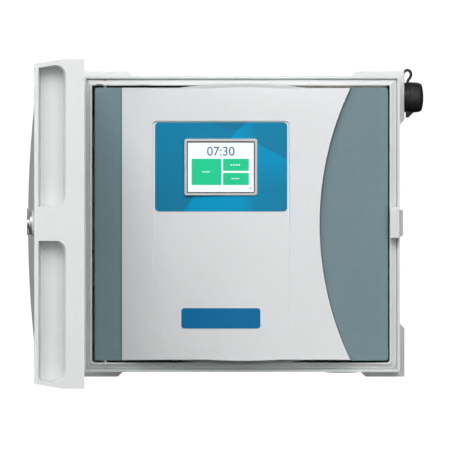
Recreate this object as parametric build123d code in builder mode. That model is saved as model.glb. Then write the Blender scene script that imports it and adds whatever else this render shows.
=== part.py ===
from build123d import *
import os

# Irrigation controller: a plastic wall cabinet with a deep outer door, and a facepack with a
# touch screen that swings out on its own pivots to reach the terminals and the transformer.
#
# Frame: the origin is the centre of the face that lies on the wall. +Z is up, +X is to the
# right of someone who faces the controller, and the front faces -Y. Depths are distances out
# from the wall, so a depth d is the plane y = -d. All sizes are in millimetres.

# ---------------------------------------------------------------- cabinet
CAB_W, CAB_H, CAB_D = 313.0, 293.0, 79.0
WALL, BACK, CAB_R = 2.4, 3.0, 3.0
FOOT_OUT, FOOT_D = 6.0, 40.0  # how far the corner feet stand out, and their depth
FOOT_RUN_TOP, FOOT_RUN_BOTTOM, FOOT_RUN_SIDE = 48.0, 39.0, 48.5
SIDE_X = CAB_W / 2 + FOOT_OUT  # outer face of a corner foot
IN_W, IN_H = CAB_W - 2 * WALL, CAB_H - 2 * WALL
FIX_X, FIX_Z, FIX_R = 135.0, 125.0, 2.75  # wall screws
LEDGE_D, LEDGE_LONG, LEDGE_WIDE = 72.0, 12.0, 5.0
LEDGE_X, LEDGE_Z = 60.0, 70.0

# Conduit holes in the floor of the cabinet
CONDUIT_D = 34.0
MAINS_X, MAINS_R = -100.0, 11.2
FIELD_X, FIELD_R = 20.0, 25.0
SPARE_X, SPARE_R = 100.0, 14.2

# ---------------------------------------------------------------- fits and fasteners
RUNNING = 0.06  # radial clearance of a pivot that turns
SNUG = 0.02  # radial clearance of a pin that stays put
SCREW_R, PILOT_R, HEAD_R, HEAD_H = 1.75, 1.6, 3.2, 1.8

# ---------------------------------------------------------------- inside the cabinet
BOARD_X, BOARD_Z = 34.0, 50.0
BOARD_HOLES_X, BOARD_HOLES_Z = 164.0, 144.0
MODULE_W, MODULE_PITCH, MODULE_LEFT, MODULE_COUNT = 27.0, 29.0, 2.0, 4
MODULE_FOOT, MODULE_TOP, MODULE_FRONT, STEP_D, STEP_TOP = 62.0, 116.0, 34.0, 24.0, 80.0
TRANS_X, TRANS_Z = -112.0, -34.0
CORE_W, CORE_H = 48.0, 44.0
COVER_LOW, COVER_HIGH, COVER_FRONT, COVER_TOP = -126.0, -70.0, 45.0, -82.0
COVER_POST_X, COVER_POST_Z = -76.0, -92.0
RIBBON_Z = 20.0

# ---------------------------------------------------------------- inner frame
GROOVE = 1.2
FRAME_W, FRAME_H = IN_W - 2 * GROOVE, IN_H - 2 * GROOVE
BAND_LOW_D, BAND_D, BAND_SLOPE, BEAD_WIDE = 75.2, 77.8, 57.0, 2.2
OPEN_LEFT, OPEN_RIGHT, OPEN_Z = -148.4, 146.3, 137.2

# ---------------------------------------------------------------- facepack
PACK_LEFT, PACK_RIGHT, PACK_Z = -145.6, 144.6, 135.0
PACK_BACK, PLATE_D, HOLLOW_D, PACK_WALL = 50.0, 77.0, 72.0, 2.5
COVER_T = 2.0
PIVOT_X, PIVOT_D, PIVOT_R = -135.5, 73.5, 2.5
SHELL_LEFT, SHELL_T, DRAFT, LIP_DRAFT = -118.8, 2.5, 4.0, 14.0
WAIST_X, WAIST_END_X = 77.7, 108.4  # the crescent's edge at mid height and at its ends
CROWN_LEFT, CROWN_KNEE, CROWN_TOP, CROWN_RIGHT = (-127, 77.0), (-70, 93.0), (0, 96.6), (127, 85.6)
SCOOP_X, SCOOP_D, SCOOP_SLOPE, SCOOP_R = 78.0, 83.0, 0.09, 2280.0
# The shallow recess that holds the label: full depth at its head, and fading towards the foot
RECESS_LEFT, RECESS_RIGHT = -88.0, 46.2
RECESS_TOP, RECESS_FOOT, RECESS_DEEP, RECESS_SHALLOW = 101.6, -112.0, 1.9, 0.06
RECESS_SLOPE = 0.7
RECESS_TILT = (RECESS_DEEP - RECESS_SHALLOW) / (RECESS_TOP - RECESS_FOOT)
LABEL_LEFT, LABEL_RIGHT, LABEL_LOW, LABEL_HIGH, LABEL_T = -85.8, 44.7, 12.5, 100.3, 0.5
BADGE_W, BADGE_H, BADGE_Z = 78.0, 20.0, -93.0
LIP_LEFT, LIP_RIGHT, LIP_MID, LIP_Z, LIP_D = -69.0, 71.0, 1.0, 138.9, 80.2
COVER_SCREWS = [(-128, 118), (128, 118), (-128, -118), (128, -118)]
BATTERY_X, BATTERY_Z, RIBBON_END_X = 90.0, -60.0, -91.0
SCREEN_X, SCREEN_Z = -20.8, 56.0
BEZEL_W, BEZEL_H, BEZEL_FRONT, BEZEL_BACK = 72.0, 56.0, 97.5, 86.0
GLASS_W, GLASS_H = 67.0, 51.0
BOARD_D, BOARD_T = 78.0, 1.6

# ---------------------------------------------------------------- door, drawn shut
DOOR_LEFT, DOOR_RIGHT, DOOR_Z = -165.0, 161.0, 151.0
DOOR_BACK, DOOR_SHOULDER, DOOR_FACE = 73.0, 93.0, 119.0
DOOR_TAPER, DOOR_EDGE, DOOR_WALL = 0.176, 1.5, 2.5
# The crown: an oval swelling of the door's face, given by its half lengths and its rise
CROWN_X, CROWN_HALF_X, CROWN_HALF_Z, CROWN_RISE = -2.0, 150.0, 118.0, 6.4
HINGE_X, HINGE_D, HINGE_R = -161.5, 76.0, 2.5
DOOR_OPEN = 87.7  # how far the door stands open at rest, in degrees
GRIP_BACK, GRIP_FRONT, GRIP_X, GRIP_Z, GRIP_R = 90.0, 115.1, 146.0, 15.4, 9.2
GRIP_TOP, GRIP_SKIN, GRIP_DRAFT = 147.4, 2.2, 8.0
LOCK_X, LOCK_Z, LOCK_R, PLUG_R = 134.0, 0.7, 8.0, 5.5
LOCK_SEAT, NUT_SEAT, LOCK_FRONT = 121.2, 115.5, 123.6
CAM_D, CAM_T, CAM_LONG = 80.2, 2.0, 17.5
CATCH_SLOT_X, CATCH_HEAD_D, CATCH_SLOT_TOP = 152.4, 83.0, 13.0

# ---------------------------------------------------------------- remote connector
PORT_D, PORT_Z, PORT_HOLE = 22.0, 127.0, 10.3
FLANGE_X, FLANGE_END = SIDE_X + 0.7, SIDE_X + 1.9
COLLAR_X, CAP_X, CAP_R, CAP_BORE, STRAP_Z = 164.6, 168.4, 15.4, 12.2, 141.9

os.makedirs("parts", exist_ok=True)


def front(d):
    """A sketch plane at depth d: its x and y are the model's X and Z, and it extrudes outwards."""
    return Plane.XZ.offset(d)


def plan(z):
    """A level sketch plane at height z: its x is X, its y is depth, and it extrudes downwards."""
    return Plane(origin=(0, 0, z), x_dir=(1, 0, 0), z_dir=(0, 0, -1))


def side(x):
    """An upright sketch plane at X = x: its x is depth, its y is Z, and it extrudes towards -X."""
    return Plane(origin=(x, 0, 0), x_dir=(0, -1, 0), z_dir=(-1, 0, 0))


def block(low, high, mode=Mode.ADD):
    """Adds or cuts a box in the part being built; its two corners are (X, depth, Z)."""
    middle = [(a + b) / 2 for a, b in zip(low, high)]
    size = [abs(b - a) for a, b in zip(low, high)]
    with Locations((middle[0], -middle[1], middle[2])):
        Box(*size, mode=mode)


def rod(x, z, r, start, end, mode=Mode.ADD):
    """Adds or cuts a round rod that runs from one depth to another."""
    with Locations((x, -(start + end) / 2, z)):
        Cylinder(r, abs(end - start), rotation=(90, 0, 0), mode=mode)


def disc(start, end, r, mode=Mode.ADD):
    """Adds or cuts a disc on the axis of the remote connector, from one X to another."""
    with Locations(((start + end) / 2, -PORT_D, PORT_Z)):
        Cylinder(r, abs(end - start), rotation=(0, 90, 0), mode=mode)


def upright(x, d, r, bottom, top, mode=Mode.ADD):
    """Adds or cuts an upright round pin at (X, depth), from one height to another."""
    with Locations((x, -d, (bottom + top) / 2)):
        Cylinder(r, top - bottom, mode=mode)


def screw(x, z, seat, length, r=SCREW_R):
    """Adds a cross-head screw whose head sits at a depth and whose shank runs towards the wall."""
    rod(x, z, r - SNUG, seat - length, seat)
    rod(x, z, HEAD_R, seat, seat + HEAD_H)
    for wide, high in ((3.6, 0.9), (0.9, 3.6)):
        low = (x - wide / 2, seat + HEAD_H - 0.9, z - high / 2)
        block(low, (x + wide / 2, seat + HEAD_H + 1, z + high / 2), Mode.SUBTRACT)


def write(part, name):
    """Labels a finished piece and writes its STEP file."""
    part.label = name
    export_step(part, f"parts/{name}.step")


# ================================================================ cabinet
def foot_outline(right, up, run_x, run_z):
    """The L-shaped outline of one corner foot, with its ends cut at 45 degrees."""
    ox, oz = SIDE_X, CAB_H / 2 + FOOT_OUT
    wx, wz = CAB_W / 2, CAB_H / 2
    points = [
        (ox, oz),
        (ox - run_x, oz),
        (ox - run_x - FOOT_OUT, wz),
        (ox - run_x - FOOT_OUT, wz - WALL),
        (wx - WALL, wz - WALL),
        (wx - WALL, oz - run_z - FOOT_OUT),
        (wx, oz - run_z - FOOT_OUT),
        (ox, oz - run_z),
    ]
    return [(right * x, up * z) for x, z in points]


with BuildPart() as cabinet:
    with BuildSketch(front(0)):
        RectangleRounded(CAB_W, CAB_H, CAB_R)
    extrude(amount=CAB_D)
    with BuildSketch(front(BACK)):
        Rectangle(IN_W, IN_H)
    extrude(amount=CAB_D, mode=Mode.SUBTRACT)
    for right, up, run_x in (
        (1, 1, FOOT_RUN_TOP),
        (-1, 1, FOOT_RUN_TOP),
        (1, -1, FOOT_RUN_BOTTOM),
        (-1, -1, FOOT_RUN_BOTTOM),
    ):
        with BuildSketch(front(0)):
            Polygon(*foot_outline(right, up, run_x, FOOT_RUN_SIDE), align=None)
        extrude(amount=FOOT_D)
    fillet(cabinet.edges().filter_by(Axis.Z).group_by(Axis.X)[-1], 1.2)
    # ribs that carry the inner frame
    with BuildSketch(front(BACK)):
        with GridLocations(2 * LEDGE_X, IN_H - LEDGE_WIDE, 2, 2):
            Rectangle(LEDGE_LONG, LEDGE_WIDE)
        with GridLocations(IN_W - LEDGE_WIDE, 2 * LEDGE_Z, 2, 2):
            Rectangle(LEDGE_WIDE, LEDGE_LONG)
    extrude(amount=LEDGE_D - BACK)
    # pads round the wall screws, and stand-offs for the terminal board
    with BuildSketch(front(BACK)):
        with GridLocations(2 * FIX_X, 2 * FIX_Z, 2, 2):
            Circle(7)
    extrude(amount=2)
    with BuildSketch(front(BACK)):
        with Locations((BOARD_X, BOARD_Z)):
            with GridLocations(BOARD_HOLES_X, BOARD_HOLES_Z, 2, 2):
                Circle(4)
    extrude(amount=5)
    with BuildSketch(front(BACK + 5)):
        with Locations((BOARD_X, BOARD_Z)):
            with GridLocations(BOARD_HOLES_X, BOARD_HOLES_Z, 2, 2):
                Circle(PILOT_R)
    extrude(amount=-6, mode=Mode.SUBTRACT)
    with BuildSketch(front(-1)):
        with GridLocations(2 * FIX_X, 2 * FIX_Z, 2, 2):
            Circle(FIX_R)
    extrude(amount=20, mode=Mode.SUBTRACT)
    # pads for the feet of the transformer bracket, and a post for the junction cover
    for x in (TRANS_X - 35, TRANS_X + 35):
        rod(x, TRANS_Z, 5, BACK, 6)
        rod(x, TRANS_Z, PILOT_R, 1.5, 7, Mode.SUBTRACT)
    rod(COVER_POST_X, COVER_POST_Z, 4, BACK, 30)
    rod(COVER_POST_X, COVER_POST_Z, PILOT_R, 20, 31, Mode.SUBTRACT)
    # conduit holes
    for x, r in ((MAINS_X, MAINS_R), (FIELD_X, FIELD_R), (SPARE_X, SPARE_R)):
        upright(x, CONDUIT_D, r, -CAB_H / 2 - 1, -CAB_H / 2 + WALL + 1, Mode.SUBTRACT)
    # remote connector: a hole through the corner foot, relieved from inside for its nut
    disc(SIDE_X - 14, SIDE_X + 1, PORT_HOLE, Mode.SUBTRACT)
    disc(SIDE_X - 16, SIDE_X - 3, 15.2, Mode.SUBTRACT)
    # notch in the corner that holds the tail of the cap's strap
    block((SIDE_X - 6, PORT_D - 3.1, 149.7), (SIDE_X + 1, PORT_D + 3.1, 153.5), Mode.SUBTRACT)
    # boss on the right wall, level with the door catch
    with BuildSketch(front(20)):
        Polygon((156, 15), (161, 13.8), (161, -11.4), (156, -14), align=None)
    extrude(amount=24)
    # hinge lugs on the left wall
    for low, high in ((108, 118), (-118, -108)):
        upright(HINGE_X, HINGE_D, 4.5, low, high)
        block((HINGE_X, 72, low), (-CAB_W / 2 + 1, 78.5, high))
        upright(HINGE_X, HINGE_D, HINGE_R + SNUG, low - 1, high + 1, Mode.SUBTRACT)
write(cabinet.part, "cabinet_tub")

with BuildPart() as inner_frame:
    with BuildSketch(front(LEDGE_D)) as outline:
        Rectangle(FRAME_W, FRAME_H)
        fillet(outline.vertices().group_by(Axis.Y)[0], 5)
    extrude(amount=BAND_LOW_D - LEDGE_D)
    with BuildSketch(front(BAND_LOW_D)) as outline:
        Rectangle(FRAME_W, FRAME_H)
        fillet(outline.vertices().group_by(Axis.Y)[0], 5)
    extrude(amount=BAND_D - BAND_LOW_D, taper=BAND_SLOPE)
    with BuildSketch(front(LEDGE_D)) as bead:
        with Locations(((OPEN_LEFT + OPEN_RIGHT) / 2, 0)):
            Rectangle(OPEN_RIGHT - OPEN_LEFT + 2 * BEAD_WIDE, 2 * (OPEN_Z + BEAD_WIDE))
        fillet(bead.vertices().group_by(Axis.Y)[0], 4)
    extrude(amount=CAB_D - LEDGE_D)
    fillet(inner_frame.faces().sort_by(Axis.Y)[0].edges(), 0.7)
    # sockets for the facepack's pivots
    for low, high in ((OPEN_Z, FRAME_H / 2), (-FRAME_H / 2, -OPEN_Z)):
        block((PIVOT_X - 5.5, LEDGE_D - 4, low), (PIVOT_X + 5.5, LEDGE_D, high))
    with BuildSketch(front(LEDGE_D - 5)) as way:
        with Locations(((OPEN_LEFT + OPEN_RIGHT) / 2, 0)):
            Rectangle(OPEN_RIGHT - OPEN_LEFT, 2 * OPEN_Z)
        fillet(way.vertices().group_by(Axis.Y)[0], 3)
    extrude(amount=20, mode=Mode.SUBTRACT)
    upright(PIVOT_X, PIVOT_D, PIVOT_R + RUNNING, -CAB_H / 2, CAB_H / 2, Mode.SUBTRACT)
    # two small notches in the head of the opening
    block((-144.4, 76, OPEN_Z - 1), (-137.6, 80, OPEN_Z + 1.3), Mode.SUBTRACT)
    block((-103.8, 76, OPEN_Z - 1), (-92.0, 80, OPEN_Z + 0.9), Mode.SUBTRACT)
write(inner_frame.part, "inner_frame")

with BuildPart() as rim_gasket:
    with BuildSketch(front(LEDGE_D)) as ring:
        Rectangle(IN_W, IN_H)
    extrude(amount=3)
    with BuildSketch(front(LEDGE_D - 1)) as ring:
        Rectangle(FRAME_W, FRAME_H)
        fillet(ring.vertices().group_by(Axis.Y)[0], 5)
    extrude(amount=5, mode=Mode.SUBTRACT)
write(rim_gasket.part, "rim_gasket")

# Foam tape under the head of the opening, on the side away from the facepack's pivots
with BuildPart() as head_tape:
    block((60, LEDGE_D + 0.2, PACK_Z + 0.4), (143.2, LEDGE_D + 3, OPEN_Z))
write(head_tape.part, "head_tape")

# The catch stands on the frame and the rim. Its slot is open at the foot, where the cam swings in.
with BuildPart() as door_catch:
    with BuildSketch(front(CAB_D)) as foot:
        with Locations((150.95, 1.5)):
            Rectangle(9.9, 31)
    extrude(amount=10)
    chamfer(door_catch.faces().sort_by(Axis.Y)[0].edges().group_by(Axis.Z)[-1], 3.0)
    fillet(door_catch.faces().sort_by(Axis.Y)[0].edges(), 0.8)
    block((140, CAB_D - 1, -20), (CATCH_SLOT_X, CATCH_HEAD_D, CATCH_SLOT_TOP), Mode.SUBTRACT)
write(door_catch.part, "door_catch")

with BuildPart() as door_hinge_pins:
    for low, high in ((99, 127), (-127, -99)):
        upright(HINGE_X, HINGE_D, HINGE_R, low, high)
write(door_hinge_pins.part, "door_hinge_pins")

# ================================================================ inside the cabinet
with BuildPart() as terminal_board:
    with BuildSketch(front(8)):
        with Locations((BOARD_X, BOARD_Z)):
            RectangleRounded(BOARD_HOLES_X + 12, BOARD_HOLES_Z + 12, 4)
            with GridLocations(BOARD_HOLES_X, BOARD_HOLES_Z, 2, 2):
                Circle(SCREW_R, mode=Mode.SUBTRACT)
    extrude(amount=2)
    # guides for the module lock
    block((-4, 10, 48.4), (118, 16, 50.7))
    block((-4, 10, 58.3), (118, 14.6, 60.4))
    for x in (6, 56, 106):
        block((x - 4, 14.6, 50.7), (x + 4, 16, 52.4))
    # the socket of the ribbon cable
    block((-52, 10, RIBBON_Z - 12), (-44, 15, RIBBON_Z + 12))
    block((-53, 12, RIBBON_Z - 10.1), (-46, 13.2, RIBBON_Z + 10.1), Mode.SUBTRACT)
write(terminal_board.part, "terminal_board")

with BuildPart() as board_screws:
    for sx in (-1, 1):
        for sz in (-1, 1):
            screw(BOARD_X + sx * BOARD_HOLES_X / 2, BOARD_Z + sz * BOARD_HOLES_Z / 2, 10, 6, PILOT_R)
write(board_screws.part, "board_screws")

with BuildPart() as power_module:
    block((-50, 10, MODULE_FOOT), (-6, 38, MODULE_TOP))
    fillet(power_module.edges().filter_by(Axis.Y), 2)
    fillet(power_module.faces().sort_by(Axis.Y)[0].edges(), 1)
    block((-52, STEP_D, MODULE_FOOT - 2), (-4, 40, STEP_TOP), Mode.SUBTRACT)
    for n in range(5):
        block((-46 + 8 * n, STEP_D, MODULE_FOOT + 1), (-45 + 8 * n, 31, STEP_TOP))
    # fuse recess
    block((-40, 33, 98), (-16, 40, 106), Mode.SUBTRACT)
write(power_module.part, "power_module")

with BuildPart() as fuse:
    with Locations((-28, -36, 102)):
        Cylinder(2.5, 20, rotation=(0, 90, 0))
write(fuse.part, "fuse")

for number in range(MODULE_COUNT):
    left = MODULE_LEFT + number * MODULE_PITCH
    right = left + MODULE_W
    with BuildPart() as output_module:
        block((left, 10, MODULE_FOOT), (right, MODULE_FRONT, MODULE_TOP))
        fillet(output_module.edges().filter_by(Axis.Y), 1.5)
        fillet(output_module.faces().sort_by(Axis.Y)[0].edges(), 1)
        block((left - 1, STEP_D, MODULE_FOOT - 2), (right + 1, 40, STEP_TOP), Mode.SUBTRACT)
        for n in range(4):
            rib = left + 1 + 8 * n
            block((rib, STEP_D, MODULE_FOOT + 1), (rib + 1, 31, STEP_TOP))
        # the tongue that the lock holds down, and grip ribs on the face
        block((left + 3, 10, 60.7), (left + 10, 14.5, MODULE_FOOT))
        for n in range(4):
            z = 92 + 6 * n
            block((left + 5, MODULE_FRONT, z), (right - 5, MODULE_FRONT + 1, z + 2))
    write(output_module.part, f"output_module_{number + 1}")

with BuildPart() as terminal_screws:
    for n in range(4):
        rod(-41.5 + 8 * n, 71, 2.6, STEP_D, STEP_D + 1.6)
    for number in range(MODULE_COUNT):
        for n in range(3):
            x = MODULE_LEFT + number * MODULE_PITCH + 5.5 + 8 * n
            rod(x, 71, 2.6, STEP_D, STEP_D + 1.6)
    for head in terminal_screws.solids():
        middle = head.center()
        z = middle.Z
        block((middle.X - 2.2, STEP_D + 0.9, z - 0.4), (middle.X + 2.2, 27, z + 0.4), Mode.SUBTRACT)
write(terminal_screws.part, "terminal_screws")

# A bar whose hooks lie over the modules' tongues until it is slid to the right
with BuildPart() as module_lock:
    block((0, 10.3, 51.0), (106, 14.3, 58.0))
    for number in range(MODULE_COUNT):
        left = MODULE_LEFT + number * MODULE_PITCH + 3
        block((left, 14.3, 53), (left + 7, 16.4, 58))
        block((left, 14.9, 58), (left + 7, 16.4, 61.7))
    block((78, 14.3, 53.5), (86, 22, 57.5))
write(module_lock.part, "module_lock_slide")

with BuildPart() as transformer_core:
    block(
        (TRANS_X - CORE_W / 2, 6, TRANS_Z - CORE_H / 2),
        (TRANS_X + CORE_W / 2, 42, TRANS_Z + CORE_H / 2),
    )
    block(
        (TRANS_X - 16, 14, TRANS_Z - CORE_H / 2 - 1),
        (TRANS_X + 16, 34, TRANS_Z + CORE_H / 2 + 1),
        Mode.SUBTRACT,
    )
    chamfer(transformer_core.edges().filter_by(Axis.Z).group_by(Axis.X)[0], 1)
    chamfer(transformer_core.edges().filter_by(Axis.Z).group_by(Axis.X)[-1], 1)
write(transformer_core.part, "transformer_core")

with BuildPart() as transformer_coil:
    block((TRANS_X - 16, 14, TRANS_Z - 32), (TRANS_X + 16, 34, TRANS_Z + 32))
    block((TRANS_X - 19, 11, TRANS_Z + CORE_H / 2), (TRANS_X + 19, 37, TRANS_Z + CORE_H / 2 + 8))
    block((TRANS_X - 19, 11, TRANS_Z - CORE_H / 2 - 8), (TRANS_X + 19, 37, TRANS_Z - CORE_H / 2))
    fillet(transformer_coil.edges().filter_by(Axis.Z).group_by(Axis.X)[0], 4)
    fillet(transformer_coil.edges().filter_by(Axis.Z).group_by(Axis.X)[-1], 4)
write(transformer_coil.part, "transformer_coil")

# A strap over the core, with a foot at each side
with BuildPart() as transformer_bracket:
    half = CORE_W / 2
    block((TRANS_X - half - 1.5, 6, TRANS_Z - 8), (TRANS_X + half + 1.5, 43.5, TRANS_Z + 8))
    block((TRANS_X - 40, 6, TRANS_Z - 8), (TRANS_X + 40, 7.5, TRANS_Z + 8))
    block((TRANS_X - half, 5, TRANS_Z - 9), (TRANS_X + half, 42, TRANS_Z + 9), Mode.SUBTRACT)
    for x in (TRANS_X - 35, TRANS_X + 35):
        rod(x, TRANS_Z, SCREW_R, 5, 9, Mode.SUBTRACT)
write(transformer_bracket.part, "transformer_bracket")

with BuildPart() as transformer_screws:
    for x in (TRANS_X - 35, TRANS_X + 35):
        screw(x, TRANS_Z, 7.5, 5.5, PILOT_R)
write(transformer_screws.part, "transformer_screws")

with BuildPart() as junction_cover:
    block((COVER_LOW, BACK, -IN_H / 2), (COVER_HIGH, COVER_FRONT, COVER_TOP))
    fillet(junction_cover.edges().filter_by(Axis.Y).group_by(Axis.Z)[-1], 4)
    fillet(junction_cover.faces().sort_by(Axis.Y)[0].edges().group_by(Axis.Z)[-1], 1.5)
    block(
        (COVER_LOW + 2, BACK - 1, -IN_H / 2 - 1),
        (COVER_HIGH - 2, COVER_FRONT - 2, COVER_TOP - 2),
        Mode.SUBTRACT,
    )
    # seat of the screw, on top of the post
    rod(COVER_POST_X, COVER_POST_Z, 4, 30, COVER_FRONT - 1)
    rod(COVER_POST_X, COVER_POST_Z, SCREW_R, 29, COVER_FRONT + 1, Mode.SUBTRACT)
write(junction_cover.part, "junction_cover")

with BuildPart() as junction_cover_screw:
    screw(COVER_POST_X, COVER_POST_Z, COVER_FRONT, 22, PILOT_R)
write(junction_cover_screw.part, "junction_cover_screw")

with BuildPart() as mains_terminals:
    block((-120, BACK, -112), (-90, 16, -98))
    for n in range(3):
        rod(-115 + 10 * n, -105, 3, 10, 17, Mode.SUBTRACT)
write(mains_terminals.part, "mains_terminals")

with BuildPart() as mains_terminal_screws:
    for n in range(3):
        rod(-115 + 10 * n, -105, 2.9, 10, 12)
        x = -115 + 10 * n
        block((x - 2.4, 11.2, -105.4), (x + 2.4, 13, -104.6), Mode.SUBTRACT)
write(mains_terminal_screws.part, "mains_terminal_screws")

with BuildPart() as ground_lug:
    block((-84, BACK, -132), (-76, 9, -122))
    rod(-80, -127, 2.2, 7, 10, Mode.SUBTRACT)
write(ground_lug.part, "ground_lug")

# Snap plug that closes the spare conduit hole from below
with BuildPart() as conduit_plug:
    upright(SPARE_X, CONDUIT_D, SPARE_R + 2.3, -CAB_H / 2 - 1.8, -CAB_H / 2)
    fillet(conduit_plug.faces().sort_by(Axis.Z)[0].edges(), 0.8)
    upright(SPARE_X, CONDUIT_D, SPARE_R - SNUG, -CAB_H / 2, -CAB_H / 2 + 5)
    upright(SPARE_X, CONDUIT_D, SPARE_R - 1.8, -CAB_H / 2 - 0.2, -CAB_H / 2 + 6, Mode.SUBTRACT)
write(conduit_plug.part, "conduit_plug")

# ================================================================ remote connector
with BuildPart() as connector_body:
    disc(SIDE_X - 11, FLANGE_X, PORT_HOLE - SNUG)
    disc(FLANGE_X, FLANGE_END, 15.0)
    fillet(connector_body.edges().filter_by(GeomType.CIRCLE).group_by(Axis.X)[-1], 0.4)
    disc(FLANGE_END, SIDE_X + 16, CAP_BORE - RUNNING)
    disc(SIDE_X - 12, SIDE_X + 17, 8.5, Mode.SUBTRACT)
write(connector_body.part, "connector_body")

with BuildPart() as connector_gasket:
    disc(SIDE_X, FLANGE_X, 13.6)
    disc(SIDE_X - 1, SIDE_X + 2, PORT_HOLE, Mode.SUBTRACT)
write(connector_gasket.part, "connector_gasket")

with BuildPart() as connector_nut:
    with BuildSketch(side(SIDE_X - 3)):
        with Locations((PORT_D, PORT_Z)):
            RegularPolygon(14.4, 6)
            Circle(PORT_HOLE, mode=Mode.SUBTRACT)
    extrude(amount=4)
write(connector_nut.part, "connector_nut")

with BuildPart() as connector_insert:
    disc(SIDE_X - 11, SIDE_X + 9, 8.5)
write(connector_insert.part, "connector_insert")

with BuildPart() as connector_pins:
    with BuildSketch(side(SIDE_X + 14)):
        with Locations((PORT_D, PORT_Z)):
            with PolarLocations(5, 5):
                Circle(0.8)
            Circle(0.8)
    extrude(amount=5)
write(connector_pins.part, "connector_pins")

with BuildPart() as dust_cap:
    with BuildSketch(plan(PORT_Z)):
        with BuildLine():
            Polyline((COLLAR_X, PORT_D), (COLLAR_X, PORT_D + 14.2), (CAP_X - 0.6, PORT_D + 14.2))
            Polyline((CAP_X - 0.6, PORT_D + 14.2), (CAP_X, PORT_D + CAP_R), (174.0, PORT_D + 15.1))
            Spline(
                (174.0, PORT_D + 15.1),
                (178.4, PORT_D + 14.3),
                (180.2, PORT_D + 13.1),
                (181.2, PORT_D + 10.0),
                (182.2, PORT_D + 2.0),
                tangents=((1, -0.07), (0.05, -1)),
            )
            Polyline((182.2, PORT_D + 2.0), (182.2, PORT_D), (COLLAR_X, PORT_D))
        make_face()
    revolve(axis=Axis((0, -PORT_D, PORT_Z), (1, 0, 0)))
    # pull tab with its gusset, and the lug that carries the strap
    with BuildSketch(front(PORT_D - 3.5)):
        tip = PORT_Z - 20.2
        Polygon(
            (COLLAR_X, PORT_Z - 13),
            (COLLAR_X, tip),
            (COLLAR_X + 2.6, tip),
            (173.0, PORT_Z - 14.6),
            (173.0, PORT_Z - 13),
            align=None,
        )
    extrude(amount=7)
    block((COLLAR_X, PORT_D - 3, PORT_Z + 12), (COLLAR_X + 3.6, PORT_D + 3, STRAP_Z))
    disc(COLLAR_X - 1, CAP_X + 11.4, CAP_BORE, Mode.SUBTRACT)
write(dust_cap.part, "dust_cap")

with BuildPart() as cap_strap:
    with BuildSketch(front(PORT_D - 3)):
        with BuildLine():
            Spline(
                (COLLAR_X + 1.8, STRAP_Z),
                (168.5, 146.2),
                (169.8, 150.0),
                (169.1, 152.6),
                (166.8, 154.2),
                (164.4, 153.7),
                (162.7, 151.9),
                (161.0, 151.1),
                (158.0, 151.1),
                tangents=((0, 1), (-1, 0)),
            )
        trace(line_width=2.6)
    extrude(amount=6)
write(cap_strap.part, "cap_strap")

# ================================================================ facepack
with BuildPart() as crescent:
    with BuildSketch(side(PACK_RIGHT)):
        with BuildLine():
            low_d = SCOOP_D - SCOOP_SLOPE * (PACK_RIGHT - SCOOP_X)
            end_d = low_d + PACK_Z**2 / (2 * SCOOP_R)
            ThreePointArc((end_d, -PACK_Z), (low_d, 0), (end_d, PACK_Z))
            Polyline((end_d, PACK_Z), (PLATE_D - 2, PACK_Z), (PLATE_D - 2, -PACK_Z), (end_d, -PACK_Z))
        make_face()
    extrude(amount=PACK_RIGHT - WAIST_X + 10, dir=(-1, -SCOOP_SLOPE, 0))
    # only the part outside the shell's curved edge
    with BuildSketch(front(PLATE_D)):
        with BuildLine():
            ThreePointArc((WAIST_END_X, PACK_Z), (WAIST_X, 0), (WAIST_END_X, -PACK_Z))
            Polyline(
                (WAIST_END_X, -PACK_Z), (0, -PACK_Z), (0, PACK_Z), (WAIST_END_X, PACK_Z)
            )
        make_face()
    extrude(amount=20, mode=Mode.SUBTRACT)

with BuildPart() as face_frame:
    with BuildSketch(front(PACK_BACK)) as outline:
        with Locations(((PACK_LEFT + PACK_RIGHT) / 2, 0)):
            Rectangle(PACK_RIGHT - PACK_LEFT, 2 * PACK_Z)
    extrude(amount=PLATE_D - PACK_BACK)
    add(crescent.part)
    fillet(face_frame.edges().filter_by(Axis.Y).group_by(Axis.X)[0], 2)
    right_edges = face_frame.edges().filter_by(Axis.Y).group_by(Axis.X)[-1].group_by(Axis.Z)
    fillet(right_edges[-1], 3.5)
    fillet(right_edges[0], 2)
    with BuildSketch(front(PACK_BACK - 1)) as inside:
        with Locations(((PACK_LEFT + PACK_RIGHT) / 2, 0)):
            Rectangle(PACK_RIGHT - PACK_LEFT - 2 * PACK_WALL, 2 * (PACK_Z - PACK_WALL))
    extrude(amount=HOLLOW_D - PACK_BACK + 1, mode=Mode.SUBTRACT)
    # window behind the control board
    block((-96, HOLLOW_D - 1, -64), (54, PLATE_D + 1, 104), Mode.SUBTRACT)
    # bosses for the rear cover's screws
    for x, z in COVER_SCREWS:
        rod(x, z, 4, PACK_BACK + COVER_T, HOLLOW_D)
        rod(x, z, PILOT_R, PACK_BACK, PACK_BACK + 14, Mode.SUBTRACT)
    # blocks that hold the pivots
    for low, high in ((PACK_Z - 10, PACK_Z), (-PACK_Z, -PACK_Z + 10)):
        block((PIVOT_X - 5, PIVOT_D - 6, low), (PIVOT_X + 5, HOLLOW_D, high))
        upright(PIVOT_X, PIVOT_D, PIVOT_R + SNUG, low, high, Mode.SUBTRACT)
write(face_frame.part, "face_frame")

with BuildPart() as facepack_pivots:
    for low, high in ((PACK_Z - 9, OPEN_Z + 5), (-OPEN_Z - 5, -PACK_Z + 9)):
        upright(PIVOT_X, PIVOT_D, PIVOT_R, low, high)
write(facepack_pivots.part, "facepack_pivots")

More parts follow.
